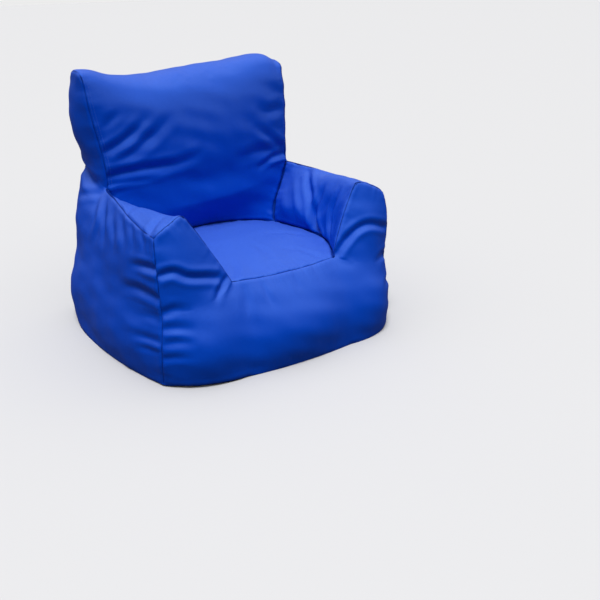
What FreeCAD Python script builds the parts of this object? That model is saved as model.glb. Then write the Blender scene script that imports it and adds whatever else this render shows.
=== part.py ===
import FreeCAD
import Part
import os

# Bean bag armchair for a child: a sewn cover of ten panels over a closed liner full of foam
# beads, with a child-safe zip across the lower back.
#
# Frame: +Z up, the floor at Z = 0, the sitter faces -Y, X = 0 is the plane of symmetry.
# All sizes are in millimetres.
#
# The skin of the chair is a quilt of four-sided patches. Every patch hangs between four
# named corners of the cover's seams, its sides are bowed lines between those corners, and
# its middle swells by a given belly, because the beads push the cover out. The panels, the
# liner and the fill are all made from this one quilt, each set in by its own depth.

# ---------------------------------------------------------------- driving dimensions
ARM_WIDTH = 600.0          # outer arm seam to outer arm seam
SEAT_WIDTH = 266.0         # between the arms, along the front edge of the seat
BACK_WIDTH = 518.0         # seam to seam, at the top of the backrest
REAR_WIDTH = 548.0         # side seam to side seam, at the rear
BODY_DEPTH = 506.0         # front seam of the arms to the rear panel
SEAT_DEPTH = 316.0         # front edge of the seat to the foot of the backrest
BACK_THICKNESS = 128.0     # backrest, front seam to rear seam, at its top
ARM_HEIGHT = 322.0         # outer arm seam above the floor
ARM_CROWN = 34.0           # inner arm seam above the outer one
SEAT_HEIGHT = 199.0        # front edge of the seat above the floor
BACK_HEIGHT = 588.0        # top seam of the backrest above the floor
NECK_HEIGHT = 334.0        # where the backrest's side seam meets the arm
BASE_SPREAD = 9.0          # how far the base seam stands outside the arm seam, in front
ZIP_HEIGHT = 120.0         # zip's centre line above the floor

COVER = 1.2                # thickness of the coated cover cloth
SEAM_GAP = 0.4             # between the cut edges of two panels at a seam
LINER = 0.6                # thickness of the liner cloth
SKIN_GAP = 0.8             # cover to liner
FILL_GAP = 0.5             # liner to beads

TOOTH_PITCH = 3.0
TOOTH_COUNT = 88           # in each row
TOOTH_WIDTH = 1.1          # along the zip
TOOTH_REACH = 0.9          # past the zip's centre line
TOOTH_HEIGHT = 3.2         # from the centre line to its heel
TOOTH_DEPTH = 2.4
TAPE = 0.5                 # thickness of the zip's tape
TAPE_WIDTH = 13.0
TAPE_EDGE = 1.7            # inner edge of a tape from the zip's centre line
RUN_GAP = 0.3              # all round what slides, and between parts of the zip
SLIDER_LENGTH = 11.0
SLIDER_PLATE = 1.0         # thickness of each of its two plates
SLIDER_LIP = 0.6           # lips that hold the two tooth rows together
STOP_LENGTH = 3.0
ZIP_WINDOW = 10.0          # height of the opening that the zip closes
ZIP_END_ROOM = 19.0        # tape beyond the last tooth, at each end

POLES = 7                  # control points along each side of a patch

# ---------------------------------------------------------------- derived sizes
HALF_ARM = ARM_WIDTH / 2
HALF_SEAT = SEAT_WIDTH / 2
HALF_BACK = BACK_WIDTH / 2
HALF_REAR = REAR_WIDTH / 2
FRONT_Y = -214.0                          # plane of the arms' front seams
REAR_Y = FRONT_Y + BODY_DEPTH             # plane of the zip, which is straight and upright
SEAT_FRONT_Y = FRONT_Y - 20
SEAT_REAR_Y = SEAT_FRONT_Y + SEAT_DEPTH
BACK_FRONT_Y = SEAT_REAR_Y + 44           # front seam of the backrest
BACK_REAR_Y = BACK_FRONT_Y + BACK_THICKNESS
LINER_INSET = COVER + SKIN_GAP
FILL_INSET = LINER_INSET + LINER + FILL_GAP
TAPE_Y = REAR_Y - COVER - RUN_GAP - TAPE / 2
ZIP_RECESS = 3.2                          # how much deeper the liner lies behind the zip
ZIP_RUN = TOOTH_PITCH * TOOTH_COUNT
HALF_WINDOW = ZIP_RUN / 2 + ZIP_END_ROOM

# ---------------------------------------------------------------- seam corners, left half
CORNERS = {
    "base_front": (-HALF_ARM - BASE_SPREAD, FRONT_Y - 18, 0),
    "base_toe": (-HALF_SEAT - 8, SEAT_FRONT_Y - 66, 0),
    "base_side": (-HALF_ARM - BASE_SPREAD - 37, FRONT_Y + 290, 0),
    "base_rear": (-HALF_REAR - 6, REAR_Y + 6, 0),
    "shin": (-HALF_ARM - 2, FRONT_Y - 20, ARM_HEIGHT / 2),
    "arm_front_outer": (-HALF_ARM, FRONT_Y + 2, ARM_HEIGHT),
    "arm_front_inner": (-HALF_ARM + 76, FRONT_Y + 16, ARM_HEIGHT + ARM_CROWN),
    "arm_rear_inner": (-HALF_BACK + 46, BACK_FRONT_Y - 4, NECK_HEIGHT - 14),
    "seat_front": (-HALF_SEAT, SEAT_FRONT_Y, SEAT_HEIGHT),
    "seat_rear": (-HALF_SEAT - 60, SEAT_REAR_Y, SEAT_HEIGHT - 8),
    "flank": (-HALF_ARM - 12, FRONT_Y + 308, ARM_HEIGHT / 2 + 20),
    "flank_rear": (-HALF_REAR - 2, REAR_Y - 12, ZIP_HEIGHT),
    "neck": (-HALF_BACK + 12, BACK_FRONT_Y - 7, NECK_HEIGHT),
    "neck_rear": (-HALF_BACK + 15, BACK_REAR_Y - 6, NECK_HEIGHT + 46),
    "back_top": (-HALF_BACK, BACK_FRONT_Y + 5, BACK_HEIGHT),
    "back_top_rear": (-HALF_BACK + 6, BACK_REAR_Y, BACK_HEIGHT - 12),
}

# How far the middle of each side of a patch is bowed away from a straight line.
BOWS = {
    ("base_front", "base_toe"): (-12, -22, 0),
    ("base_toe", "base_toe*"): (0, -9, 0),
    ("base_front", "base_side"): (-11, 0, 0),
    ("base_side", "base_rear"): (-16, 10, 0),
    ("base_rear", "base_rear*"): (0, 14, 0),
    ("base_toe", "base_rear"): (0, 0, 0),
    ("base_front", "shin"): (-8, -12, 0),
    ("shin", "arm_front_outer"): (-4, -6, 0),
    ("base_toe", "seat_front"): (0, -20, 0),
    ("shin", "seat_front"): (0, -20, -4),
    ("seat_front", "seat_front*"): (0, -6, -5),
    ("seat_front", "arm_front_inner"): (8, 2, -8),
    ("arm_front_outer", "arm_front_inner"): (0, -4, 2),
    ("base_side", "flank"): (-10, 0, 0),
    ("shin", "flank"): (-14, 0, 0),
    ("flank", "neck"): (-12, 0, 16),
    ("flank", "flank_rear"): (-12, 12, 0),
    ("base_rear", "flank_rear"): (-6, 6, 0),
    ("flank_rear", "neck_rear"): (-8, 4, 20),
    ("arm_front_outer", "neck"): (-12, 0, -4),
    ("arm_front_inner", "arm_rear_inner"): (-6, 0, 6),
    ("arm_rear_inner", "neck"): (-2, 0, 2),
    ("seat_front", "seat_rear"): (-44, 0, 6),
    ("arm_rear_inner", "seat_rear"): (4, 0, 0),
    ("seat_rear", "seat_rear*"): (0, 40, 14),
    ("arm_rear_inner", "arm_rear_inner*"): (0, -30, 0),
    ("neck", "neck*"): (0, -30, 0),
    ("neck", "neck_rear"): (-6, 0, 0),
    ("neck", "back_top"): (0, -4, 0),
    ("neck_rear", "back_top_rear"): (-4, 0, 0),
    ("neck_rear", "neck_rear*"): (0, 40, 0),
    ("back_top", "back_top*"): (0, -4, 2),
    ("back_top", "back_top_rear"): (-10, 0, 10),
    ("back_top_rear", "back_top_rear*"): (0, 12, 4),
}

# Patches: the panel, four corners anticlockwise as seen from outside, and the belly.
# A star marks a corner of the right half. What isn't its own mirror image is made twice.
PATCHES = [
    ("front_panel", "base_front", "base_toe", "seat_front", "shin", (-4, -12, 0)),
    ("front_panel", "shin", "seat_front", "arm_front_inner", "arm_front_outer", (0, -12, 0)),
    ("front_panel", "base_toe", "base_toe*", "seat_front*", "seat_front", (0, -12, 0)),
    ("side_panel", "base_side", "base_front", "shin", "flank", (-10, 0, 0)),
    ("side_panel", "flank", "shin", "arm_front_outer", "neck", (-8, 0, 0)),
    ("side_panel", "base_rear", "base_side", "flank", "flank_rear", (-10, 8, 0)),
    ("side_panel", "flank_rear", "flank", "neck", "neck_rear", (-6, 4, 0)),
    ("side_panel", "neck_rear", "neck", "back_top", "back_top_rear", (-16, 0, 0)),
    ("arm_panel", "arm_front_outer", "arm_front_inner", "arm_rear_inner", "neck", (0, 0, 2)),
    ("arm_panel", "arm_front_inner", "seat_front", "seat_rear", "arm_rear_inner", (10, 0, 4)),
    ("seat_panel", "seat_front", "seat_front*", "seat_rear*", "seat_rear", (0, 0, 14)),
    ("inside_back_panel", "seat_rear", "seat_rear*", "arm_rear_inner*", "arm_rear_inner", (0, -18, 0)),
    ("inside_back_panel", "arm_rear_inner", "arm_rear_inner*", "neck*", "neck", (0, 0, 0)),
    ("inside_back_panel", "neck", "neck*", "back_top*", "back_top", (0, -16, 0)),
    ("inside_back_panel", "back_top", "back_top*", "back_top_rear*", "back_top_rear", (0, 0, 10)),
    ("back_panel_upper", "back_top_rear", "back_top_rear*", "neck_rear*", "neck_rear", (0, 8, 0)),
    ("back_panel_upper", "neck_rear", "neck_rear*", "flank_rear*", "flank_rear", (0, 14, 0)),
    ("back_panel_lower", "flank_rear", "flank_rear*", "base_rear*", "base_rear", (0, 6, 0)),
    ("base_panel", "base_toe", "base_front", "base_side", "base_rear", (0, 0, 0)),
    ("base_panel", "base_toe*", "base_toe", "base_rear", "base_rear*", (0, 0, 0)),
]
HANDED_PANELS = ("side_panel", "arm_panel")


# ---------------------------------------------------------------- small helpers
def vector(x, y, z):
    return FreeCAD.Vector(x, y, z)


def mirrored(point):
    return vector(-point.x, point.y, point.z)


def star(name):
    """The same corner on the other half."""
    return name[:-1] if name.endswith("*") else name + "*"


def corner(name):
    if name.endswith("*"):
        return mirrored(corner(name[:-1]))
    return vector(*CORNERS[name])


def box(low, high):
    """A box from its lowest to its highest corner."""
    return Part.makeBox(high[0] - low[0], high[1] - low[1], high[2] - low[2], vector(*low))


def key(point):
    """Names a control point by its place, so that patches know which ones they share."""
    return (round(point.x, 3), round(point.y, 3), round(point.z, 3))


# ---------------------------------------------------------------- control points
def zip_line():
    """The rear seam with the zip: straight and upright, and rounded only at its ends."""
    end = corner("flank_rear")
    shares = (0.0, 0.17, 0.46, 1.0)
    half = [vector(end.x * (1 - share), REAR_Y, ZIP_HEIGHT) for share in shares]
    half[0] = end
    return half + [mirrored(point) for point in reversed(half[:-1])]


def side_of_patch(start, finish):
    """Control points of the bowed line from one corner to another."""
    if (start, finish) == ("flank_rear", "flank_rear*"):
        return zip_line()
    if (start, finish) in BOWS:
        bow = vector(*BOWS[start, finish])
        line = []
        for index in range(POLES):
            t = index / (POLES - 1)
            straight = corner(start) * (1 - t) + corner(finish) * t
            line.append(straight + bow * (4 * t * (1 - t)))
        return line
    if (finish, start) in BOWS or (finish, start) == ("flank_rear", "flank_rear*"):
        return side_of_patch(finish, start)[::-1]
    return [mirrored(point) for point in side_of_patch(star(start), star(finish))]


def control_net(first, second, third, fourth, belly):
    """A patch's grid of control points: its four sides blended, plus the belly."""
    low, high = side_of_patch(first, second), side_of_patch(fourth, third)
    left, right = side_of_patch(first, fourth), side_of_patch(second, third)
    swell = vector(*belly) * 1.4
    net = []
    for i in range(POLES):
        s = i / (POLES - 1)
        row = []
        for j in range(POLES):
            t = j / (POLES - 1)
            along = low[i] * (1 - t) + high[i] * t
            across = left[j] * (1 - s) + right[j] * s
            flat = (low[0] * (1 - t) + high[0] * t) * (1 - s) + (low[-1] * (1 - t) + high[-1] * t) * s
            row.append(along + across - flat + swell * (16 * s * (1 - s) * t * (1 - t)))
        net.append(row)
    return net


def net_sides(net):
    """The four sides of a net: the side's own control points, and the row next to it."""
    last = POLES - 1
    return (
        ([net[i][0] for i in range(POLES)], [net[i][1] for i in range(POLES)], lambda i: (i, 0)),
        ([net[i][last] for i in range(POLES)], [net[i][last - 1] for i in range(POLES)], lambda i: (i, last)),
        (list(net[0]), list(net[1]), lambda i: (0, i)),
        (list(net[last]), list(net[last - 1]), lambda i: (last, i)),
    )


def smooth_inside_panels(quilt):
    """Where two patches of one panel meet, puts their common points midway between the
    rows on both sides, so that the cloth runs on without a fold."""
    meeting = {}
    for panel, net in quilt:
        for side, neighbours, place in net_sides(net):
            for index in range(1, POLES - 1):
                found = meeting.setdefault((panel, key(side[index])), [])
                found.append((net, place(index), neighbours[index]))
    for found in meeting.values():
        if len(found) == 2:
            middle = (found[0][2] + found[1][2]) * 0.5
            for net, (i, j), _ in found:
                net[i][j] = middle


def stand_upright_at_zip(panel, net):
    """Keeps the rows next to the zip in its plane, so that its tapes lie flat behind them."""
    for side, neighbours, place in net_sides(net):
        if panel.startswith("back_panel") and abs(side[3].z - ZIP_HEIGHT) < 0.001:
            row = 1 if place(0)[1] == 0 else POLES - 2
            for i in range(1, POLES - 1):
                net[i][row] = vector(net[i][row].x, REAR_Y, net[i][row].z)


def make_quilt():
    """All patches of both halves: a list of (panel, control net)."""
    quilt = []
    for panel, first, second, third, fourth, belly in PATCHES:
        net = control_net(first, second, third, fourth, belly)
        names = {first, second, third, fourth}
        handed = panel in HANDED_PANELS
        quilt.append(("left_" + panel if handed else panel, net))
        if names != {star(name) for name in names}:
            other = [[mirrored(point) for point in row] for row in reversed(net)]
            quilt.append(("right_" + panel if handed else panel, other))
    smooth_inside_panels(quilt)
    for panel, net in quilt:
        stand_upright_at_zip(panel, net)
    return quilt


def net_normal(net, i, j):
    """Outward normal of a net at one of its points. A point on the border takes that of its
    neighbour inside, because two sides may meet almost in line, or almost shut."""
    i, j = min(max(i, 1), POLES - 2), min(max(j, 1), POLES - 2)
    along = net[i + 1][j] - net[i - 1][j]
    across = net[i][j + 1] - net[i][j - 1]
    return along.cross(across).normalize()


def mean_direction(directions):
    total = vector(0, 0, 0)
    for direction in directions:
        total += direction
    return total.normalize()


def point_normals(quilt):
    """Outward normal at every control point: the mean over the panels that meet there,
    lengthened so that the face of each panel moves by the full depth."""
    shared = {}
    for panel, net in quilt:
        for i in range(POLES):
            for j in range(POLES):
                panels = shared.setdefault(key(net[i][j]), {})
                panels.setdefault(panel, []).append(net_normal(net, i, j))
    normals = {}
    for place, panels in shared.items():
        faces = [mean_direction(found) for found in panels.values()]
        middle = mean_direction(faces)
        lean = sum(middle.dot(face) for face in faces) / len(faces)
        normals[place] = middle * (1 / max(lean, 0.55))
    return normals


def panel_borders(quilt):
    """For each panel, which control points are on its border and which way is inwards."""
    counts = {}
    sides = []
    last = POLES - 1
    for panel, net in quilt:
        for edge, inner, _ in net_sides(net):
            name = (panel, frozenset((key(edge[0]), key(edge[last]))))
            counts[name] = counts.get(name, 0) + 1
            sides.append((name, edge, inner))
    inwards = {}
    for name, edge, inner in sides:
        if counts[name] == 1:
            for index, (point, neighbour) in enumerate(zip(edge, inner)):
                run = (edge[min(index + 1, last)] - edge[max(index - 1, 0)]).normalize()
                step = neighbour - point
                step = (step - run * step.dot(run)).normalize()
                place = (name[0], key(point))
                inwards[place] = inwards.get(place, vector(0, 0, 0)) + step
    return inwards


QUILT = make_quilt()
NORMALS = point_normals(QUILT)
INWARDS = panel_borders(QUILT)


# ---------------------------------------------------------------- surfaces and solids
def recess(point):
    """How much deeper the liner lies: one behind the zip, and zero elsewhere."""
    if point.y < REAR_Y - 1 or abs(point.x) > HALF_REAR - 20:
        return 0.0
    distance = abs(point.z - ZIP_HEIGHT)
    return max(0.0, min(1.0, 2.0 - distance / 30))


def set_in(net, depth, extra=0.0):
    """The net moved inwards by a depth, and by an extra depth behind the zip."""
    return [
        [point - NORMALS[key(point)] * (depth + extra * recess(point)) for point in row]
        for row in net
    ]


def trimmed(panel, net, moved):
    """The moved net, drawn back from the panel's border by half a seam gap."""
    zero = vector(0, 0, 0)
    return [
        [
            there + INWARDS.get((panel, key(here)), zero) * (SEAM_GAP / 2)
            for here, there in zip(row, moved_row)
        ]
        for row, moved_row in zip(net, moved)
    ]


def surface(net):
    """A cubic spline surface over a control net, clamped to its border."""
    inner = POLES - 4
    knots = [index / (inner + 1) for index in range(inner + 2)]
    mults = [4] + [1] * inner + [4]
    patch = Part.BSplineSurface()
    patch.buildFromPolesMultsKnots(net, mults, mults, knots, knots, False, False, 3, 3)
    return patch


def border_curves(net):
    """The four border curves of a patch, each with the places of its ends."""
    patch = surface(net)
    return [patch.vIso(0.0), patch.vIso(1.0), patch.uIso(0.0), patch.uIso(1.0)]


def sewn(faces):
    """One closed shell from faces that share their borders."""
    shell = Part.makeShell(faces)
    shell.sewShape()
    return shell


def outward(solid):
    """The solid, turned the right way out if it was sewn inside out."""
    if solid.Volume < 0:
        solid.reverse()
    return solid


def flat_face(curves):
    """The flat face inside a ring of curves that all lie on the floor."""
    edges = [curve.toShape() for curve in curves]
    return Part.Face(Part.Wire(Part.__sortEdges__(edges)))


def panel_solid(panel):
    """One panel of the cover: its outer and inner faces, joined round the border."""
    nets = [net for name, net in QUILT if name == panel]
    outer = [trimmed(panel, net, net) for net in nets]
    inner = [trimmed(panel, net, set_in(net, COVER)) for net in nets]
    last = POLES - 1
    borders = {}
    for net, out, into in zip(nets, outer, inner):
        ends = ((0, 0, last, 0), (0, last, last, last), (0, 0, 0, last), (last, 0, last, last))
        for (i, j, k, l), far, near in zip(ends, border_curves(out), border_curves(into)):
            name = frozenset((key(net[i][j]), key(net[k][l])))
            borders.setdefault(name, []).append((far, near))
    rim = [pairs[0] for pairs in borders.values() if len(pairs) == 1]
    if panel == "base_panel":
        faces = [flat_face([far for far, _ in rim])]
    else:
        faces = [surface(net).toShape() for net in outer]
    faces += [surface(net).toShape() for net in inner]
    faces += [Part.makeRuledSurface(far.toShape(), near.toShape()) for far, near in rim]
    return outward(Part.makeSolid(sewn(faces)))


def closed_skin(depth):
    """The whole skin, set in by a depth, as one closed shell."""
    return sewn([surface(set_in(net, depth, ZIP_RECESS)).toShape() for _, net in QUILT])


def inner_liner():
    """The closed bag of thin cloth that holds the beads: one skin inside another."""
    inside = closed_skin(LINER_INSET + LINER)
    inside.reverse()
    return outward(Part.makeSolid(Part.makeCompound([closed_skin(LINER_INSET), inside])))


def bead_fill():
    """The beads as one solid that fills the liner."""
    return outward(Part.makeSolid(closed_skin(FILL_INSET)))


# ---------------------------------------------------------------- the zip
def zip_window():
    """The opening between the two back panels that the zip closes."""
    half = ZIP_WINDOW / 2
    return box(
        (-HALF_WINDOW, REAR_Y - 20, ZIP_HEIGHT - half), (HALF_WINDOW, REAR_Y + 20, ZIP_HEIGHT + half)
    )


def zip_tape(side):
    """One cloth tape; side is 1 above the centre line and -1 below it."""
    low, high = sorted((ZIP_HEIGHT + side * TAPE_EDGE, ZIP_HEIGHT + side * (TAPE_EDGE + TAPE_WIDTH)))
    return box((-HALF_WINDOW, TAPE_Y - TAPE / 2, low), (HALF_WINDOW, TAPE_Y + TAPE / 2, high))


def zip_teeth(side):
    """One row of teeth, each of them clipped over the edge of its tape."""
    low, high = sorted((-side * TOOTH_REACH, side * TOOTH_HEIGHT))
    slot_low, slot_high = sorted((side * (TAPE_EDGE - RUN_GAP), side * (TOOTH_HEIGHT + 1)))
    half, slot = TOOTH_DEPTH / 2, TAPE / 2 + RUN_GAP
    tooth = box((0, -half, low), (TOOTH_WIDTH, half, high))
    tooth = tooth.cut(box((-1, -slot, slot_low), (TOOTH_WIDTH + 1, slot, slot_high)))
    start = -ZIP_RUN / 2 + (TOOTH_PITCH / 2 if side < 0 else 0)
    row = []
    for index in range(TOOTH_COUNT):
        copy = tooth.copy()
        copy.translate(vector(start + index * TOOTH_PITCH, TAPE_Y, ZIP_HEIGHT))
        row.append(copy)
    return Part.makeCompound(row)


def zip_slider():
    """The slider, with no pull: two plates with lips, joined by a post ahead of the teeth."""
    half_gap = TOOTH_DEPTH / 2 + RUN_GAP
    half_width = TOOTH_HEIGHT + RUN_GAP + SLIDER_LIP
    lip_end = TAPE / 2 + RUN_GAP
    x0 = ZIP_RUN / 2 + RUN_GAP
    body = []
    for side in (1, -1):
        y_in, y_out = sorted((side * half_gap, side * (half_gap + SLIDER_PLATE)))
        plate = box((0, y_in, -half_width), (SLIDER_LENGTH, y_out, half_width))
        body.append(plate.makeFillet(0.35, [e for e in plate.Edges if abs(e.Vertexes[0].Y) > half_gap + 0.5
                                            and abs(e.Vertexes[1].Y) > half_gap + 0.5]))
        y_in, y_out = sorted((side * lip_end, side * (half_gap + 0.2)))
        for edge in (1, -1):
            z_in, z_out = sorted((edge * (half_width - SLIDER_LIP), edge * half_width))
            body.append(box((0.6, y_in, z_in), (SLIDER_LENGTH - 0.6, y_out, z_out)))
    post = Part.makeCylinder(1.1, 2 * half_gap + 0.4, vector(SLIDER_LENGTH - 2.2, -half_gap - 0.2, 0),
                             vector(0, 1, 0))
    solid = body[0].multiFuse(body[1:] + [post]).removeSplitter()
    solid.translate(vector(x0, TAPE_Y, ZIP_HEIGHT))
    return solid


def end_stop(side, x):
    """A clip crimped over the edge of one tape, or over both where side is 0."""
    half, slot = TOOTH_DEPTH / 2, TAPE / 2 + RUN_GAP
    low = ZIP_HEIGHT - (TOOTH_HEIGHT if side < 1 else -TAPE_EDGE + RUN_GAP * 2)
    high = ZIP_HEIGHT + (TOOTH_HEIGHT if side > -1 else -TAPE_EDGE + RUN_GAP * 2)
    clip = box((x, TAPE_Y - half, low), (x + STOP_LENGTH, TAPE_Y + half, high))
    for edge in (1, -1):
        z_in, z_out = sorted((edge * (TAPE_EDGE - RUN_GAP), edge * (TOOTH_HEIGHT + 1)))
        clip = clip.cut(
            box((x - 1, TAPE_Y - slot, ZIP_HEIGHT + z_in), (x + STOP_LENGTH + 1, TAPE_Y + slot, ZIP_HEIGHT + z_out))
        )
    return clip


# ---------------------------------------------------------------- build and export
def build():
    parts = {}
    for panel in sorted({name for name, _ in QUILT}):
        parts[panel] = panel_solid(panel)
    window = zip_window()
    for panel in ("back_panel_upper", "back_panel_lower"):
        parts[panel] = parts[panel].cut(window)
    parts["inner_liner"] = inner_liner()
    parts["bead_fill"] = bead_fill()
    for name, side in (("upper", 1), ("lower", -1)):
        parts["zip_tape_" + name] = zip_tape(side)
        parts["zip_teeth_" + name] = zip_teeth(side)
    parts["zip_slider"] = zip_slider()
    stop_x = ZIP_RUN / 2 + SLIDER_LENGTH + 2 * RUN_GAP
    parts["zip_top_stops"] = Part.makeCompound([end_stop(1, stop_x), end_stop(-1, stop_x)])
    parts["zip_bottom_stop"] = end_stop(0, -ZIP_RUN / 2 - STOP_LENGTH - RUN_GAP)
    return parts


os.makedirs("parts", exist_ok=True)
for node, shape in build().items():
    shape.exportStep("parts/" + node + ".step")
    bounds = shape.BoundBox
    print(
        f"{node:20s} solids {len(shape.Solids):3d} valid {shape.isValid()} volume {shape.Volume / 1000:10.2f} cm3 "
        f"x {bounds.XMin:7.1f} {bounds.XMax:7.1f} y {bounds.YMin:7.1f} {bounds.YMax:7.1f} z {bounds.ZMin:7.1f} {bounds.ZMax:7.1f}"
    )
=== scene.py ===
# %% [markdown]
# # A child's bean bag armchair
# The chair is a bag of coated cloth, sewn from ten panels and filled with foam beads. The CAD
# frame gives the size of every panel and the place of the zip. Here the same seams are drawn
# again, cloth is spread between them, blown out by the beads, creased, and cut into panels.

# %% Load the frame
import math

import bpy
import numpy as np
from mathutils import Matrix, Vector


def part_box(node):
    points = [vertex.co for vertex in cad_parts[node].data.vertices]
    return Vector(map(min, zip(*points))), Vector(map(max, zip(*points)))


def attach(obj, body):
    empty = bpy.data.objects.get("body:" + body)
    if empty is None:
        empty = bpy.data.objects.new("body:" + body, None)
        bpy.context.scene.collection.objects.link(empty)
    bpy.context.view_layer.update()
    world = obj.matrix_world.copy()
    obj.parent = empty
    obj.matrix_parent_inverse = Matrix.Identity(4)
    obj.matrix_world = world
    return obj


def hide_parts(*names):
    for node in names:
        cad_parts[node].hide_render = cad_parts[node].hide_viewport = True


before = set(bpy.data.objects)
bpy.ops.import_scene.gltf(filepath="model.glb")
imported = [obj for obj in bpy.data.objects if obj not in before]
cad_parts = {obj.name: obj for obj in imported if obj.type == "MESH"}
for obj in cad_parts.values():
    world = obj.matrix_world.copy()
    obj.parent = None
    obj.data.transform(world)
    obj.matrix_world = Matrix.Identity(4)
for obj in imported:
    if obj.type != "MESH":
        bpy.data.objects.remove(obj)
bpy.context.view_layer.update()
scene = bpy.context.scene

# %% [markdown]
# ## Seam corners
# Every sewing pattern starts from the points where seams meet. They could be measured off a
# scan, but a bag is only known by its seams, so each corner is placed from the boxes of the CAD
# panels, and a few offsets in metres say how far it stands from those boxes. The left half is
# listed, and a star marks the same corner on the right half.

# %% Corners of the seams
arm_low, arm_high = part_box("left_arm_panel")
zip_low, zip_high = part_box("zip_tape_upper")
lower_tape_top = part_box("zip_tape_lower")[1].z
back_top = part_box("inside_back_panel")[1].z

HALF_ARM = -arm_low.x                          # outer arm seams stand this far from the middle
HALF_SEAT = -arm_high.x                        # inner arm seams, at the front edge of the seat
HALF_BACK = HALF_ARM - 0.041                   # seams of the backrest
HALF_REAR = HALF_ARM - 0.026                   # side seams at the rear
FRONT_Y = arm_low.y + 0.020                    # plane of the arm's front seams
ZIP_Y = (zip_low.y + zip_high.y) / 2 + 0.00175  # outer face of the cloth at the zip
ZIP_Z = (lower_tape_top + zip_low.z) / 2       # the zip's centre line
ARM_Z = 0.322                                  # outer arm seams, at their front
NECK_Z = 0.334                                 # where the arm, side and back panels meet
SEAT_Z = arm_low.z + 0.009                     # front edge of the seat
BACK_Z = back_top - 0.021                      # front seam along the top of the backrest
SEAT_FRONT_Y = FRONT_Y - 0.020
SEAT_REAR_Y = SEAT_FRONT_Y + 0.316
BACK_FRONT_Y = SEAT_REAR_Y + 0.044
BACK_REAR_Y = BACK_FRONT_Y + 0.128

CORNERS = {
    "base_front": (-HALF_ARM - 0.009, FRONT_Y - 0.018, 0.0),
    "base_toe": (-HALF_SEAT - 0.008, SEAT_FRONT_Y - 0.066, 0.0),
    "base_side": (-HALF_ARM - 0.046, FRONT_Y + 0.290, 0.0),
    "base_rear": (-HALF_REAR - 0.006, ZIP_Y + 0.006, 0.0),
    "shin": (-HALF_ARM - 0.002, FRONT_Y - 0.020, ARM_Z / 2),
    "arm_front_outer": (-HALF_ARM, FRONT_Y + 0.002, ARM_Z),
    "arm_front_inner": (-HALF_ARM + 0.076, FRONT_Y + 0.016, ARM_Z + 0.034),
    "seat_front": (-HALF_SEAT, SEAT_FRONT_Y, SEAT_Z),
    "seat_rear": (-HALF_SEAT - 0.060, SEAT_REAR_Y, SEAT_Z - 0.008),
    "flank": (-HALF_ARM - 0.012, FRONT_Y + 0.308, ARM_Z / 2 + 0.020),
    "flank_rear": (-HALF_REAR - 0.002, ZIP_Y - 0.012, ZIP_Z),
    "neck": (-HALF_BACK + 0.012, BACK_FRONT_Y - 0.007, NECK_Z),
    "neck_rear": (-HALF_BACK + 0.015, BACK_REAR_Y - 0.006, NECK_Z + 0.046),
    "back_top": (-HALF_BACK, BACK_FRONT_Y + 0.005, BACK_Z),
    "back_top_rear": (-HALF_BACK + 0.006, BACK_REAR_Y, BACK_Z - 0.012),
}

# How far the middle of each seam or pattern line is bowed from a straight line, in metres.
BOWS = {
    ("base_front", "base_toe"): (-0.012, -0.022, 0),
    ("base_toe", "base_toe*"): (0, -0.009, 0),
    ("base_front", "base_side"): (-0.011, 0, 0),
    ("base_side", "base_rear"): (-0.016, 0.010, 0),
    ("base_rear", "base_rear*"): (0, 0.014, 0),
    ("base_toe", "base_rear"): (0, 0, 0),
    ("base_front", "shin"): (-0.008, -0.012, 0),
    ("shin", "arm_front_outer"): (-0.004, -0.006, 0),
    ("base_toe", "seat_front"): (0, -0.024, 0),
    ("shin", "seat_front"): (0, -0.024, -0.004),
    ("seat_front", "seat_front*"): (0, -0.006, -0.005),
    ("seat_front", "arm_front_inner"): (0.008, 0.002, -0.008),
    ("arm_front_outer", "arm_front_inner"): (0, -0.004, 0.002),
    ("base_side", "flank"): (-0.012, 0, 0),
    ("shin", "flank"): (-0.014, 0, 0),
    ("flank", "neck"): (-0.012, 0, 0.016),
    ("flank", "flank_rear"): (-0.012, 0.012, 0),
    ("base_rear", "flank_rear"): (-0.006, 0.006, 0),
    ("flank_rear", "neck_rear"): (-0.008, 0.004, 0.020),
    ("arm_front_outer", "neck"): (-0.012, 0, -0.004),
    ("seat_front", "seat_rear"): (-0.044, 0, 0.006),
    ("neck", "seat_rear"): (0.002, 0.004, 0),
    ("seat_rear", "seat_rear*"): (0, 0.040, 0.014),
    ("neck", "neck*"): (0, -0.030, 0),
    ("neck", "neck_rear"): (-0.006, 0, 0),
    ("neck", "back_top"): (0, -0.004, 0),
    ("neck_rear", "back_top_rear"): (-0.004, 0, 0),
    ("neck_rear", "neck_rear*"): (0, 0.040, 0),
    ("back_top", "back_top*"): (0, -0.004, 0.002),
    ("back_top", "back_top_rear"): (-0.010, 0, 0.010),
    ("back_top_rear", "back_top_rear*"): (0, 0.012, 0.004),
}


def star(name):
    """The same corner on the other half."""
    return name[:-1] if name.endswith("*") else name + "*"


def corner(name):
    """A corner's place as an array; a starred one is mirrored in the plane X = 0."""
    if name.endswith("*"):
        return corner(name[:-1]) * np.array((-1.0, 1.0, 1.0))
    return np.array(CORNERS[name], float)


print("seam corners:", len(CORNERS), "on each half; zip at", round(ZIP_Y, 4), round(ZIP_Z, 4))

# %% [markdown]
# ## The quilt
# Between the corners hang four-sided patches. A patch could be modelled by hand, vertex by
# vertex, but all four of its sides are already known, and a Coons patch fills them in one
# formula: blend the two pairs of opposite sides, and take away the bilinear surface that was
# counted twice. A belly is added because the beads push every patch out.
#
# Lines of one family must have one number of steps, so that neighbours share their vertices.

# %% Patches
STEPS = {"A": 20, "B": 22, "C": 22, "D": 40, "E": 56, "F": 32}
STEPS["arm"] = STEPS["A"] + STEPS["B"]

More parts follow.
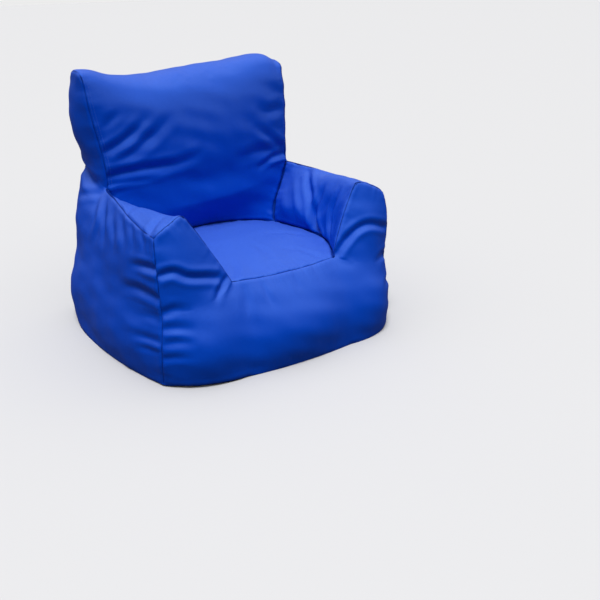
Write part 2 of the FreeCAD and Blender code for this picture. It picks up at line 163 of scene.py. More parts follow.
# Panel, four corners anticlockwise from outside, steps along and across, belly in metres.
PATCHES = [
    ("front_panel", ("base_front", "base_toe", "seat_front", "shin"), "A", "C", (-0.004, -0.018, 0)),
    ("front_panel", ("shin", "seat_front", "arm_front_inner", "arm_front_outer"), "A", "B", (0, -0.012, 0)),
    ("front_panel", ("base_toe", "base_toe*", "seat_front*", "seat_front"), "E", "C", (0, -0.024, 0)),
    ("side_panel", ("base_side", "base_front", "shin", "flank"), "D", "C", (-0.012, 0, 0)),
    ("side_panel", ("flank", "shin", "arm_front_outer", "neck"), "D", "B", (-0.008, 0, 0)),
    ("side_panel", ("base_rear", "base_side", "flank", "flank_rear"), "A", "C", (-0.010, 0.008, 0)),
    ("side_panel", ("flank_rear", "flank", "neck", "neck_rear"), "A", "B", (-0.006, 0.004, 0)),
    ("side_panel", ("neck_rear", "neck", "back_top", "back_top_rear"), "A", "F", (-0.016, 0, 0)),
    ("arm_panel", ("arm_front_outer", "seat_front", "seat_rear", "neck"), "arm", "D", (0.010, 0, 0.008)),
    ("seat_panel", ("seat_front", "seat_front*", "seat_rear*", "seat_rear"), "E", "D", (0, 0, 0.014)),
    ("inside_back_panel", ("seat_rear", "seat_rear*", "neck*", "neck"), "E", "arm", (0, -0.018, 0)),
    ("inside_back_panel", ("neck", "neck*", "back_top*", "back_top"), "E", "F", (0, -0.016, 0)),
    ("inside_back_panel", ("back_top", "back_top*", "back_top_rear*", "back_top_rear"), "E", "A",
     (0, 0, 0.010)),
    ("back_panel_upper", ("back_top_rear", "back_top_rear*", "neck_rear*", "neck_rear"), "E", "F",
     (0, 0.008, 0)),
    ("back_panel_upper", ("neck_rear", "neck_rear*", "flank_rear*", "flank_rear"), "E", "B", (0, 0.014, 0)),
    ("back_panel_lower", ("flank_rear", "flank_rear*", "base_rear*", "base_rear"), "E", "C", (0, 0.006, 0)),
    ("base_panel", ("base_toe", "base_front", "base_side", "base_rear"), "A", "D", (0, 0, 0)),
    ("base_panel", ("base_toe*", "base_toe", "base_rear", "base_rear*"), "E", "D", (0, 0, 0)),
]
HANDED = ("side_panel", "arm_panel")
MIRROR = np.array((-1.0, 1.0, 1.0))


def bowed_line(start, finish, steps):
    """Points of a seam: a straight line plus its bow times 4 t (1 - t), which is 1 half way."""
    t = np.linspace(0.0, 1.0, steps + 1)[:, None]
    for one, other, sign in ((start, finish, 1), (star(start), star(finish), -1)):
        for pair in ((one, other), (other, one)):
            if pair in BOWS:
                bow = np.array(BOWS[pair]) * np.array((sign, 1, 1))
                return corner(start) * (1 - t) + corner(finish) * t + bow * (4 * t * (1 - t))
    raise KeyError((start, finish))


STRAIGHT = 0.62                                # share of the zip's seam that is straight


def zip_line(steps):
    """The seam with the zip: along X it is straight and upright, and only its last fifth at
    each end falls back to the side seam, by the cube of the way into that fifth."""
    t = np.linspace(-1.0, 1.0, steps + 1)
    end = corner("flank_rear")
    drop = np.clip((np.abs(t) - STRAIGHT) / (1 - STRAIGHT), 0, 1) ** 3
    return np.stack([-end[0] * t, ZIP_Y + (end[1] - ZIP_Y) * drop, np.full_like(t, end[2])], -1)


def arm_end(outer, ridge, inner):
    """The front end of an arm: its outer seam corner, up to the ridge, and down to the seat."""
    up = bowed_line(outer, ridge, STEPS["A"])
    return np.concatenate([up, bowed_line(ridge, inner, STEPS["B"])[1:]])


def side_of_patch(start, finish, steps):
    """One side of a patch, as an array of points."""
    plain, other = start.rstrip("*"), finish.rstrip("*")
    if {start, finish} == {"flank_rear", "flank_rear*"}:
        return zip_line(steps)[:: 1 if start == "flank_rear" else -1]
    if (plain, other) == ("arm_front_outer", "seat_front"):
        mark = "*" if start.endswith("*") else ""
        return arm_end(start, "arm_front_inner" + mark, finish)
    if (plain, other) == ("seat_front", "arm_front_outer"):
        return side_of_patch(finish, start, steps)[::-1]
    return bowed_line(start, finish, steps)


def coons(low, high, left, right, belly):
    """Both pairs of sides blended, less the surface through the four corners, plus the belly
    times 16 s (1 - s) t (1 - t), which is 1 in the middle and 0 on all four sides."""
    s = np.linspace(0, 1, len(low))[:, None, None]
    t = np.linspace(0, 1, len(left))[None, :, None]
    along = low[:, None] * (1 - t) + high[:, None] * t
    across = left[None] * (1 - s) + right[None] * s
    flat = (low[0] * (1 - t) + high[0] * t) * (1 - s) + (low[-1] * (1 - t) + high[-1] * t) * s
    return along + across - flat + np.array(belly) * (16 * s * (1 - s) * t * (1 - t))


def make_quilt():
    """All patches as (panel, grid of points): both halves of what isn't its own mirror image."""
    quilt = []
    for panel, (a, b, c, d), along, across, belly in PATCHES:
        names = [(a, b, c, d)]
        if {a, b, c, d} != {star(n) for n in (a, b, c, d)}:
            names.append((star(b), star(a), star(d), star(c)))
        for index, (a, b, c, d) in enumerate(names):
            low, high = side_of_patch(a, b, STEPS[along]), side_of_patch(d, c, STEPS[along])
            left, right = side_of_patch(a, d, STEPS[across]), side_of_patch(b, c, STEPS[across])
            push = np.array(belly) * (MIRROR if index else 1)
            name = ("left_", "right_")[index] + panel if panel in HANDED else panel
            quilt.append((name, coons(low, high, left, right, push)))
    return quilt


def weld(grids):
    """Joins the patches: points nearer than a hundredth of a millimetre become one vertex.
    Returns the vertices and, for each patch, the grid of its vertices' numbers."""
    points = np.concatenate([g.reshape(-1, 3) for g in grids])
    _, first, number = np.unique(np.round(points, 5) + 0.0, axis=0, return_index=True, return_inverse=True)
    number = number.reshape(-1)
    ends = np.cumsum([g.shape[0] * g.shape[1] for g in grids])[:-1]
    return points[first], [n.reshape(g.shape[:2]) for n, g in zip(np.split(number, ends), grids)]


def quads(grid):
    """The faces of a grid of vertex numbers, four to a face."""
    return np.stack([grid[:-1, :-1], grid[1:, :-1], grid[1:, 1:], grid[:-1, 1:]], -1).reshape(-1, 4)


quilt = make_quilt()
panels = [panel for panel, _ in quilt]
points, grids = weld([grid for _, grid in quilt])
print("quilt:", len(quilt), "patches,", len(points), "vertices")


# %% Which sides of a patch are seams
def sides(grid):
    """The four sides of a grid."""
    return grid[:, 0], grid[:, -1], grid[0], grid[-1]


def side_names(panel, grid):
    """A name for each side: the panel and the numbers of its ends and its middle vertex."""
    return [(panel, frozenset(line[[0, len(line) // 2, -1]].tolist())) for line in sides(grid)]


def marked(count, grids):
    """True for each of so many vertices that lies on a seam."""
    found = np.zeros(count, bool)
    for grid, flags in zip(grids, seams):
        for line, flag in zip(sides(grid), flags):
            found[line] |= flag
    return found


# A side is a seam if no other patch of the same panel shares it.
names = [side_names(panel, grid) for panel, grid in zip(panels, grids)]
all_names = sum(names, [])
seams = [[all_names.count(name) == 1 for name in four] for four in names]
on_seam = marked(len(points), grids)
print("seam vertices:", int(on_seam.sum()))

# %% [markdown]
# ## Spreading the cloth
# Coons patches meet in faint ridges inside a panel, where the real cloth runs on. Moving each
# free vertex to the mean of its neighbours, many times, irons them out. The seams are eased
# first, each vertex towards its neighbours along the seam only, which rounds their corners as
# beads do. The sums over neighbours are done for all vertices at once.

# %% Smoothing
faces = np.concatenate([quads(grid) for grid in grids])


def edges_of(faces):
    """Every edge once, as pairs of vertex numbers."""
    pairs = np.concatenate([faces[:, [k, (k + 1) % 4]] for k in range(4)])
    return np.unique(np.sort(pairs, axis=1), axis=0)


def smoothed(points, edges, free, times, share=0.5):
    """Moves each vertex by a share of the way to its neighbours' mean, times over. free is 0
    where a vertex must stay and 1 where it may go all the way."""
    count = np.maximum(np.bincount(edges.ravel(), minlength=len(points)), 1)[:, None]
    for _ in range(times):
        total = np.zeros_like(points)
        for axis in range(3):
            total[:, axis] = (
                np.bincount(edges[:, 0], points[edges[:, 1], axis], len(points))
                + np.bincount(edges[:, 1], points[edges[:, 0], axis], len(points))
            )
        points = points + (total / count - points) * (share * free[:, None])
    return points


def evened(values, edges, free, times):
    """One number per vertex, evened out as the places of the vertices are by smoothed."""
    return smoothed(np.repeat(values[:, None], 3, axis=1), edges, free, times)[:, 0]


def normals_of(points, faces):
    """Unit normals of the vertices: the sum of the cross products of each face's diagonals,
    which weighs a face by its area, brought to length 1."""
    a, b, c, d = (points[faces[:, k]] for k in range(4))
    area = np.cross(c - a, d - b)
    total = np.zeros_like(points)
    for axis in range(3):
        for k in range(4):
            total[:, axis] += np.bincount(faces[:, k], area[:, axis], len(points))
    return total / np.maximum(np.linalg.norm(total, axis=1, keepdims=True), 1e-12)


edges = edges_of(faces)
on_base = points[:, 2] < 1e-6
ZIP_STRIP = 0.012                              # half the height of the strip that carries the zip
near_zip = (np.abs(points[:, 1] - ZIP_Y) < 1e-4) & (np.abs(points[:, 2] - ZIP_Z) < ZIP_STRIP)
stitched = edges[on_seam[edges].all(axis=1)]
CRISP = ("neck", "neck*", "seat_front", "seat_front*")
CRISP_REACH = 0.020                            # the seams stay as drawn this far from them


def from_corners(points, names):
    """How far each point is from the nearest of some corners."""
    return np.linalg.norm(points[:, None] - np.array([corner(n) for n in names]), axis=2).min(axis=1)


crisp = from_corners(points, CRISP) <= CRISP_REACH
loose = np.where(on_seam & ~on_base & ~near_zip & ~crisp, 1.0, 0.0)
eased = smoothed(points, stitched, loose, times=9)
free = np.where(on_seam | on_base | near_zip, 0.0, 1.0)
flat_cloth = smoothed(eased, edges, free, times=50)
print("cloth spread:", len(faces), "faces,", len(edges), "threads")

# %% [markdown]
# ## Blowing the bag out
# A real cover is cut a little larger than the shape between its seams, and the beads push it
# out until it is taut, which throws soft folds that run off the seams. Those folds could be
# sculpted, but Blender's cloth does it by itself: the inside of each panel is let grow by one
# or two percent, the seams are held, and a pressure takes the place of the beads. Gravity is off,
# because the beads carry the cloth. The base stays flat, and so does the strip with the zip.

# %% Cloth under pressure
GROWTH = 0.016                                 # how much larger the cloth is cut than the shape
PRESSURE = 4.0
SIM_FRAMES = 24
FARTHEST = 0.014                               # no point moves farther than this


def weights(obj, name, values):
    """A vertex group with one weight per vertex, given in steps of a twentieth."""
    group = obj.vertex_groups.new(name=name)
    for step in np.unique(np.round(values * 20)):
        chosen = np.nonzero(np.round(values * 20) == step)[0]
        group.add(chosen.tolist(), float(step) / 20, "REPLACE")
    return group.name


def inflated(points, faces, held, grown):
    """The cloth after some frames of pressure. held and grown are weights from 0 to 1."""
    mesh = bpy.data.meshes.new("cover_cloth")
    mesh.from_pydata(points.tolist(), [], faces.tolist())
    cloth = bpy.data.objects.new("cover_cloth", mesh)
    scene.collection.objects.link(cloth)
    modifier = cloth.modifiers.new("Cloth", "CLOTH")
    settings = modifier.settings
    settings.quality = 6
    settings.mass = 0.35
    settings.air_damping = 3.0
    settings.tension_stiffness = settings.compression_stiffness = 22
    settings.shear_stiffness = 10
    settings.bending_stiffness = 1.6
    settings.tension_damping = settings.compression_damping = settings.shear_damping = 12
    settings.bending_damping = 1.0
    settings.use_pressure = True
    settings.uniform_pressure_force = PRESSURE
    settings.vertex_group_mass = weights(cloth, "held", held)
    settings.pin_stiffness = 2.0
    settings.vertex_group_shrink = weights(cloth, "grown", grown)
    settings.shrink_min, settings.shrink_max = 0.0, -GROWTH
    settings.effector_weights.gravity = 0.0
    modifier.collision_settings.use_collision = False
    modifier.point_cache.frame_end = SIM_FRAMES
    for number in range(1, SIM_FRAMES + 1):
        scene.frame_set(number)
    result = cloth.evaluated_get(bpy.context.evaluated_depsgraph_get()).data
    moved = np.empty(len(points) * 3)
    result.vertices.foreach_get("co", moved)
    scene.frame_set(1)
    bpy.data.objects.remove(cloth)
    return moved.reshape(-1, 3)


def capped(start, finish, farthest):
    """Shortens every move to the farthest allowed: a move of length m becomes
    farthest times tanh(m / farthest), which leaves small moves as they are."""
    move = finish - start
    length = np.linalg.norm(move, axis=1, keepdims=True)
    return start + move * (farthest * np.tanh(length / farthest) / np.maximum(length, 1e-9))


SEAM_HOLD = 0.85                               # a seam may still give way a little
held = np.where(on_seam, SEAM_HOLD, 0.0)
held[on_base | near_zip] = 1.0
inside = np.where(on_seam, 0.0, 1.0)
grown = evened(inside, edges, np.ones(len(points)), times=2)
blown = capped(flat_cloth, inflated(flat_cloth, faces, held, grown), FARTHEST)
shift = np.linalg.norm(blown - flat_cloth, axis=1)
print("cloth moved", round(float(shift.mean()) * 1000, 1), "mm on average, at most",
      round(float(shift.max()) * 1000, 1))

# %% [markdown]
# ## How this bag has settled
# A bag that is used is never quite symmetric: beads run to one side, a corner rounds off and a
# top edge sags. Sculpting would do it, but a few soft pushes say it shortly: each has a centre,
# three reaches, and the way the cloth goes, and it fades as a bell curve.

# %% Pushes, listed
PUSHES = [
    ((-0.110, 0.190, BACK_Z + 0.010), (0.120, 0.200, 0.060), (0, 0, -0.022)),  # sagging top edge
    ((0.070, 0.190, BACK_Z + 0.010), (0.090, 0.200, 0.060), (0, 0, -0.008)),
    ((0.205, 0.190, BACK_Z), (0.075, 0.120, 0.060), (0, 0, 0.011)),  # its high right end
    ((HALF_BACK, 0.140, BACK_Z), (0.036, 0.120, 0.050), (-0.012, 0, -0.013)),  # rounded right corner
    ((HALF_BACK, 0.150, 0.470), (0.060, 0.120, 0.100), (-0.010, 0, 0)),  # slack right wing
    ((-HALF_BACK - 0.01, 0.220, 0.500), (0.070, 0.110, 0.110), (-0.020, 0, 0)),  # full left wing
    ((-HALF_BACK, 0.130, BACK_Z - 0.02), (0.050, 0.060, 0.110), (-0.014, 0, 0)),  # its seam leans out
    ((-HALF_BACK - 0.005, 0.160, BACK_Z), (0.050, 0.090, 0.050), (-0.004, 0, 0.018)),  # and its top stands up
    ((-HALF_BACK - 0.02, 0.280, BACK_Z), (0.035, 0.060, 0.045), (0.008, 0, -0.018)),  # rounded behind
    ((-0.320, 0.300, 0.0), (0.050, 0.060, 0.060), (0.008, -0.008, 0.004)),  # blunt rear corners
    ((0.320, 0.300, 0.0), (0.050, 0.060, 0.060), (-0.008, -0.008, 0.004)),
    ((-0.330, 0.160, 0.130), (0.060, 0.140, 0.060), (-0.010, 0.004, 0)),  # full rear corner
    ((-HALF_REAR, 0.160, 0.270), (0.080, 0.140, 0.080), (-0.012, 0, 0)),  # full left flank
    ((HALF_ARM + 0.03, -0.10, 0.11), (0.090, 0.230, 0.110), (-0.026, 0, 0)),  # slack right flank
    ((0.215, 0.010, 0.230), (0.070, 0.095, 0.060), (-0.034, 0, 0.003)),  # thick right arm
    ((-0.215, 0.030, 0.235), (0.070, 0.075, 0.060), (0.024, 0, 0.003)),  # thick left arm
    ((-0.240, -0.010, 0.335), (0.060, 0.130, 0.050), (0, 0, 0.018)),  # crowns of the arms
    ((0.240, -0.040, 0.335), (0.060, 0.140, 0.050), (0, 0, 0.012)),
    ((-0.230, FRONT_Y - 0.04, 0.0), (0.090, 0.080, 0.030), (0, 0, 0.006)),  # front edge off the floor
]


def pushed(points, centre, reach, way):
    """Moves the points by way times exp(-r^2), r being the distance from the centre in
    reaches, each axis with its own."""
    apart = (points - np.array(centre)) / np.array(reach)
    return points + np.array(way) * np.exp(-(apart ** 2).sum(axis=1, keepdims=True))


settled = blown
for centre, reach, way in PUSHES:
    settled = pushed(settled, centre, reach, way)
settled[near_zip] = blown[near_zip]
settled[:, 2] = np.maximum(settled[:, 2], 0.0)
print("settled box:", settled.min(0).round(3), settled.max(0).round(3))

# %% [markdown]
# ## Finer cloth
# The simulation ran on threads 8 mm apart, which is too coarse for a seam. Subdivision Surface
# would round the seams off, so each patch is read again along smooth curves through its own
# points, first one way and then the other: twice as fine everywhere, and finer still next to
# its sides, where the seams pull the cloth in.

# %% Reading the cloth more finely
CLOSE = np.array((0.12, 0.28))                 # extra lines next to a side, in cells


def fine_steps(cells):
    """Places along a grid line, counted in cells: every half, and the close ones at each end."""
    return np.sort(np.concatenate([np.arange(2 * cells + 1) / 2, CLOSE, cells - CLOSE]))


def curved(values, places):
    """Reads a Catmull-Rom curve through the rows of an array at the given places. Beyond its
    ends the curve runs on straight."""
    before, after = 2 * values[:1] - values[1:2], 2 * values[-1:] - values[-2:-1]
    rows = np.concatenate([before, values, after])
    cell = np.minimum(places.astype(int), len(values) - 2)
    u = (places - cell).reshape(-1, *[1] * (values.ndim - 1))
    a, b, c, d = (rows[cell + k] for k in range(4))
    return b + 0.5 * u * (c - a + u * (2 * a - 5 * b + 4 * c - d + u * (3 * (b - c) + d - a)))


def refined(grid):
    """A grid of points read more finely along both directions."""
    once = curved(grid, fine_steps(len(grid) - 1)).swapaxes(0, 1)
    return curved(once, fine_steps(len(once) - 1)).swapaxes(0, 1)


cloth, fine_grids = weld([refined(settled[grid]) for grid in grids])
fine_faces = np.concatenate([quads(grid) for grid in fine_grids])
fine_panel = np.concatenate([[panel] * len(quads(g)) for panel, g in zip(panels, fine_grids)])
fine_seam = marked(len(cloth), fine_grids)
print("fine cloth:", len(cloth), "vertices,", len(fine_faces), "faces,", int(fine_seam.sum()), "on seams")

# %% [markdown]
# ## Seams
# A seam pulls both panels in, and because one panel is always a little longer than the other,
# the machine gathers it in short puckers. Both depend on the distance to the nearest seam, and
# that is one matrix product per block of vertices.

# %% Distances
WINDOW = -zip_low.x                            # half the length of the slot for the zip


def nearest(points, line, block=4000):
    """How far each point is from the nearest one of a line, and that one's number. The square
    of a distance is p.p + q.q - 2 p.q, so a whole block needs one matrix product."""
    apart, number = np.empty(len(points)), np.empty(len(points), int)
    for first in range(0, len(points), block):
        part = points[first:first + block]
        square = (part ** 2).sum(1)[:, None] + (line ** 2).sum(1) - 2 * part @ line.T
        chosen = square.argmin(axis=1)
        number[first:first + block] = chosen
        apart[first:first + block] = np.sqrt(np.maximum(square[np.arange(len(part)), chosen], 0))
    return apart, number


def step_between(low, high, values):
    """0 below low, 1 above high, and 3 u^2 - 2 u^3 between them."""
    u = np.clip((values - low) / (high - low), 0, 1)
    return u * u * (3 - 2 * u)


def rough(points, lengths, seed):
    """Uneven values near -1 to 1: three sine waves for each wavelength, in chance directions."""
    chance = np.random.default_rng(seed)
    total = np.zeros(len(points))
    for length in lengths:
        for _ in range(3):
            way = chance.normal(size=3)
            turns = points @ (way / np.linalg.norm(way)) / length
            total += np.sin(2 * np.pi * (turns + chance.random()))
    return total / (1.6 * math.sqrt(len(lengths) * 3 / 2))


zip_calm = step_between(0.006, 0.020, np.abs(cloth[:, 2] - ZIP_Z))
zip_calm[(cloth[:, 1] < ZIP_Y - 0.004) | (np.abs(cloth[:, 0]) > WINDOW + 0.03)] = 1.0
floor_calm = step_between(0.0005, 0.010, cloth[:, 2])
calm = zip_calm * floor_calm                   # 0 where the cloth has to stay in place
seam_line = cloth[fine_seam]
to_seam, seam_number = nearest(cloth, seam_line)
seam_place = seam_line[seam_number]
print("seam points:", len(seam_line), "; farthest from one:", round(float(to_seam.max()), 3))

# %% Seam grooves and puckers
GROOVE, GROOVE_WIDTH = 0.0028, 0.0028
PUCKER, PUCKER_REACH = 0.0011, 0.018

normal = normals_of(cloth, fine_faces)
groove = -GROOVE * np.exp(-(to_seam / GROOVE_WIDTH) ** 2)
roll = 0.0009 * np.exp(-((to_seam - 0.0075) / 0.005) ** 2)
gather = PUCKER * rough(seam_place, (0.013, 0.021, 0.034), seed=4)
gather *= np.exp(-to_seam / PUCKER_REACH) * step_between(0.0, 0.004, to_seam)
seam_move = (groove + roll + gather) * calm

# %% [markdown]
# ## Folds
# Where the bag is pinched, as at the neck between arm and backrest, the cloth gathers into
# folds that run across it. Their places are a matter of how the chair was last sat in, so they
# are listed: each is a short line drawn on one panel, seen squarely from the side named,
# with its half width and its depth at the start, in the middle and at the end.

# %% Folds, listed
# By panel and the axis it is seen along, all in millimetres: half width, the depths at the
# start, in the middle and at the end, and points in the other two axes. A ridge is negative.
FOLDS = [
    ("inside_back_panel", "y", [
        (9, (5, 7, 0), ((-250, 424), (-195, 453), (-146, 497))),
        (11, (2, 5, 0), ((-215, 403), (-160, 437), (-120, 468), (-80, 500))),
        (10, (7, 8, 0), ((-252, 365), (-187, 376), (-125, 378), (-65, 385), (-5, 410))),
        (6, (4, 3, 0), ((-250, 349), (-200, 352), (-145, 356), (-100, 364))),
        (8, (2, 3, 0), ((-245, 482), (-208, 515))),
        (26, (0, -8, -2), ((-150, 268), (-40, 278), (60, 286), (170, 300))),
        (9, (0, 5, 5), ((130, 446), (180, 412), (240, 370))),
        (7, (0, 6, 6), ((140, 334), (190, 353), (245, 357))),
        (12, (0, 5, 4), ((65, 370), (150, 378), (230, 366))),
        (12, (0, 3, 2), ((140, 484), (185, 470), (235, 480))),
    ]),
    ("side_panel", "x", [
        (12, (8, 11, 4), ((255, 376), (190, 352), (125, 338))),
        (8, (5, 4, 0), ((128, 330), (190, 316), (250, 292))),
        (9, (-2, -5, 0), ((108, 325), (80, 283), (98, 230))),
        (10, (3, 4, 0), ((72, 320), (30, 272), (20, 225))),
        (10, (2, 4, 0), ((10, 318), (-32, 277), (-45, 245))),
        (9, (2, 3, 0), ((-50, 318), (-83, 287), (-90, 258))),
        (7, (2, 2, 0), ((-105, 318), (-130, 290), (-132, 265))),
        (6, (3, 3, 0), ((-155, 318), (-172, 300), (-176, 280))),
        (7, (7, 9, 0), ((-232, 260), (-180, 255), (-120, 243))),
        (9, (7, 8, 0), ((-235, 197), (-160, 200), (-85, 186))),
        (8, (5, 5, 0), ((-238, 106), (-193, 103), (-130, 98))),
        (6, (3, 3, 0), ((-238, 84), (-195, 80), (-160, 74))),
        (8, (2, 3, 0), ((-236, 150), (-200, 150), (-150, 140))),
    ]),
    ("front_panel", "y", [
        (7, (8, 10, 8), ((-304, 246), (-272, 251), (-243, 237), (-197, 226), (-165, 216))),
        (6, (7, 7, 0), ((-146, 212), (-174, 193), (-196, 172))),
        (8, (4, 5, 0), ((-304, 167), (-277, 174), (-240, 167))),
        (7, (3, 4, 0), ((-306, 136), (-280, 137), (-245, 132))),
        (7, (3, 4, 0), ((-308, 104), (-280, 109), (-250, 105))),
        (6, (3, 3, 0), ((-310, 72), (-285, 76), (-255, 73))),
        (9, (1, 2.5, 0), ((-112, 190), (-118, 160), (-128, 125))),
        (6, (1, 3, 0), ((-70, 186), (-68, 165), (-60, 140))),
        (8, (1, 1.5, 0), ((10, 184), (14, 168), (26, 155))),
        (7, (10, 10, 6), ((142, 203), (172, 232), (205, 254), (240, 259), (292, 240))),
        (8, (4, 5, 0), ((304, 170), (277, 176), (235, 170))),
        (7, (3, 4, 0), ((306, 110), (280, 114), (245, 108))),
    ]),
    ("arm_panel", "x", [
        (8, (2, 17, 14), ((-75, 318), (-70, 257), (-87, 218), (-125, 194))),
        (8, (5, 12, 6), ((30, 328), (-10, 303), (-45, 276), (-80, 226))),
        (12, (-2, -6, -2), ((62, 304), (2, 264), (-55, 226))),
        (7, (2, 10, 7), ((-148, 330), (-140, 265), (-165, 215))),
    ]),
    ("arm_panel", "z", [
        (8, (6, 6, 0), ((296, -186), (270, -170), (240, -162))),
        (9, (3, 3, 0), ((285, -60), (262, -40), (235, -48))),
    ]),
    ("seat_panel", "z", [
        (9, (0, 2.5, 0), ((0, -90), (4, -130), (-4, -180))),
        (8, (3, 2.5, 0), ((-120, -215), (-95, -180), (-80, -140))),
        (8, (3, 2.5, 0), ((105, -215), (85, -170), (40, -140))),
        (9, (3, 2.5, 0), ((150, -90), (100, -60), (50, -50))),
    ]),
    ("back_panel_upper", "y", [
        (11, (8, 7, 0), ((-250, 380), (-190, 372), (-110, 384), (-30, 378))),
        (12, (8, 7, 0), ((250, 378), (180, 366), (80, 370), (10, 362))),
        (9, (5, 5, 0), ((-248, 394), (-200, 420), (-160, 460))),
        (9, (5, 5, 0), ((248, 394), (205, 410), (150, 452))),
        (10, (5, 5, 0), ((-262, 350), (-220, 320), (-190, 270))),
        (10, (5, 5, 0), ((262, 350), (215, 325), (170, 290))),
        (12, (2, 3, 0), ((-60, 570), (-70, 520), (-50, 470))),
    ]),
    ("back_panel_lower", "y", [
        (9, (4, 4, 0), ((-275, 90), (-230, 82), (-180, 86))),
        (9, (4, 4, 0), ((275, 70), (235, 74), (185, 66))),
    ]),
]
AXES = {"x": 0, "y": 1, "z": 2}
RIGHT_SHARE = 0.85                             # the same folds are less deep on the right side


def laid(panel_points, axis, drawn):
    """Lays a drawn line on a panel: a point every 2 mm or so, and the third coordinate taken
    from the panel's nearest point and evened out along the line."""
    drawn = np.array(drawn) / 1000
    line = curved(drawn, np.linspace(0, len(drawn) - 1, 20 * (len(drawn) - 1) + 1))
    kept = [k for k in range(3) if k != axis]
    depth = panel_points[nearest(line, panel_points[:, kept])[1], axis]
    for _ in range(8):
        padded = np.concatenate([depth[:1], depth, depth[-1:]])
        depth = (padded[:-2] + padded[1:-1] + padded[2:]) / 3
    return np.insert(line, axis, depth, axis=1)


def fold_move(panel_points, line, width, depths):
    """How far a fold moves each point along its normal: down by the depth at the nearest place
    on the line times exp(-(r/w)^1.4), and up by a third of it where r is about twice the width,
    because the cloth that a fold takes in stands up beside it."""
    apart, number = nearest(panel_points, line)
    last = len(line) - 1
    depth = np.interp(number / last, (0, 0.45, 1), depths) / 1000
    ends = np.linalg.norm(panel_points[:, None] - line[[0, -1]], axis=2).min(axis=1)
    beyond = ((number == 0) | (number == last)) * ends
    fade = np.exp(-(beyond / width) ** 2)
    valley = np.exp(-(apart / width) ** 1.4)
    shoulder = np.exp(-((apart - 2.1 * width) / (0.9 * width)) ** 2)
    return depth * (0.34 * shoulder * fade - valley)


fold_total = np.zeros(len(cloth))
members = {panel: np.unique(fine_faces[fine_panel == panel]) for panel in np.unique(fine_panel)}
for panel, seen_along, folds in FOLDS:
    sides_of_bag = [(panel, 1, 1.0)]
    if panel in HANDED:
        sides_of_bag = [("left_" + panel, -1, 1.0), ("right_" + panel, 1, RIGHT_SHARE)]
    for name, side, share in sides_of_bag:
        mine = members[name]
        turn = side if seen_along == "z" else 1
        for width, depths, drawn in folds:
            line = laid(cloth[mine], AXES[seen_along], [(a * turn, b) for a, b in drawn])
            fold_total[mine] += fold_move(cloth[mine], line, width / 1000, depths) * share
edge_fade = step_between(0.0, 0.006, to_seam)
print("folds:", sum(len(folds) for *_, folds in FOLDS),
      "; deepest", round(float(fold_total.min()) * 1000, 1), "mm")

# %% [markdown]
# ## Beads under the cloth
# Foam beads lie in soft heaps, and coated cloth shows them as a faint, wide unevenness.

# %% The finished cloth
HEAPS = 0.0011                                 # height of the heaps
AT_SEAM = 0.35                                 # share of a fold that is left right at a seam

heaps = HEAPS * rough(cloth, (0.045, 0.075, 0.120), seed=9)
move = seam_move + (fold_total * (AT_SEAM + (1 - AT_SEAM) * edge_fade) + heaps) * calm
move = evened(move, edges_of(fine_faces), np.where(to_seam > 0.003, 1.0, 0.0), times=2)
finished = cloth + normal * move[:, None]
finished[:, 2] = np.maximum(finished[:, 2], 0.0)
print("finished cloth box:", finished.min(0).round(3), finished.max(0).round(3))

# %% [markdown]
# ## Cutting the cloth into panels
# On the real chair each panel is its own piece of coated cloth, 1.2 mm thick. The faces of one
# panel are taken out of the whole cloth, and Solidify would give them their thickness; but the
# hem next to the zip has to open first, so the inner side and the rim are added here as arrays
# too. How near each point is to a seam is kept as an attribute, which the vinyl reads later.

# %% Panels of the cover
COVER = 0.0012                                 # thickness of the coated cloth
SLOT = 0.005                                   # half the height of the slot for the zip


def new_mesh(name, vertices, faces, sharp_angle=50.0):
    """An object at the origin with a smooth mesh; edges sharper than the angle stay sharp."""
    mesh = bpy.data.meshes.new(name)
    mesh.from_pydata(vertices.tolist(), [], faces.tolist())
    mesh.polygons.foreach_set("use_smooth", np.ones(len(mesh.polygons), bool))
    mesh.set_sharp_from_angle(angle=math.radians(sharp_angle))
    mesh.update()
    obj = bpy.data.objects.new(name, mesh)
    scene.collection.objects.link(obj)
    return obj


def put_values(obj, name, values):
    """Keeps one number per vertex as an attribute that a material can read."""
    layer = obj.data.attributes.new(name, "FLOAT", "POINT")
    layer.data.foreach_set("value", values.astype(np.float32))


def rim_of(faces):
    """The directed edges that only one face uses, which are the border of a piece of cloth."""
    pairs = np.concatenate([faces[:, [k, (k + 1) % faces.shape[1]]] for k in range(faces.shape[1])])
    big = int(faces.max()) + 1
    forward, backward = pairs[:, 0] * big + pairs[:, 1], pairs[:, 1] * big + pairs[:, 0]
    return pairs[~np.isin(forward, backward)]


def thick(points, normals, faces, thickness):
    """Cloth with a thickness: the outer face, the same set in along the normals and turned
    round, and a rim between them."""
    inner = points - normals * thickness
    rim = rim_of(faces)
    count = len(points)
    band = np.stack([rim[:, 1], rim[:, 0], rim[:, 0] + count, rim[:, 1] + count], axis=1)
    return np.concatenate([points, inner]), np.concatenate([faces, faces[:, ::-1] + count, band])


def open_slot(points):
    """Draws the cloth back from the zip: at height h above the centre line it moves by the
    slot's half height times (1 - h / 15 mm), so the edge moves all the way and the rest less."""
    height = points[:, 2] - ZIP_Z
    near = 1 - step_between(WINDOW - 0.012, WINDOW + 0.002, np.abs(points[:, 0]))
    near = near * (points[:, 1] > ZIP_Y - 0.006)
    amount = SLOT * near * np.clip(1 - np.abs(height) / 0.015, 0, 1)
    moved = points.copy()
    side = -1.0 if height.mean() < 0 else 1.0
    moved[:, 2] += side * amount
    return moved


